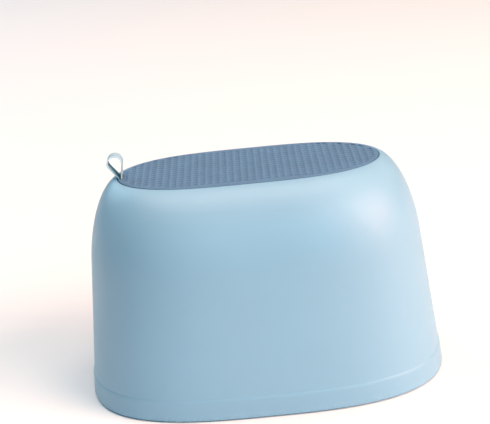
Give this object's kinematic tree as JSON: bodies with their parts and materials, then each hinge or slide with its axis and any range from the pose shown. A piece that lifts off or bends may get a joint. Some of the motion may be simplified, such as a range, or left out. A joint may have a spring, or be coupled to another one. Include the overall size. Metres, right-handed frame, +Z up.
{
  "type": "shower stool",
  "caption": "Low oval shower stool: one deep moulded shell with a flared foot band, a non-slip pad let into its seat, a small hanging strap and soft feet.",
  "frame": {"origin": "on the floor, under the middle of the stool", "axes": "+X along the stool's length, away from the strap; +Y to the back; +Z up"},
  "size_m": [0.35, 0.24, 0.2341],
  "materials": {
    "shell": "satin moulded polypropylene, pale blue",
    "pad": "soft matt mat, slate blue, with a grid of small pockets",
    "strap": "flat woven tape, pale ice blue",
    "pin": "natural moulded plastic",
    "feet": "soft matt mat, slate blue"
  },
  "bodies": {
    "stool": {"body_shell": "shell", "seat_pad": "pad", "strap_tail": "strap", "strap_cross_pin": "pin", "foot_front_left": "feet", "foot_front_middle": "feet", "foot_front_right": "feet", "foot_rear_left": "feet", "foot_rear_middle": "feet", "foot_rear_right": "feet"},
    "loop": {"carry_loop": "strap"}
  },
  "joints": [
    {"name": "loop_flex", "type": "hinge", "parent": "stool", "child": "loop", "pos_m": [-0.1233, 0, 0.21], "axis": [0, 1, 0], "range_deg": [-42, 56], "stiffness_Nm_per_rad": 0.005}
  ]
}
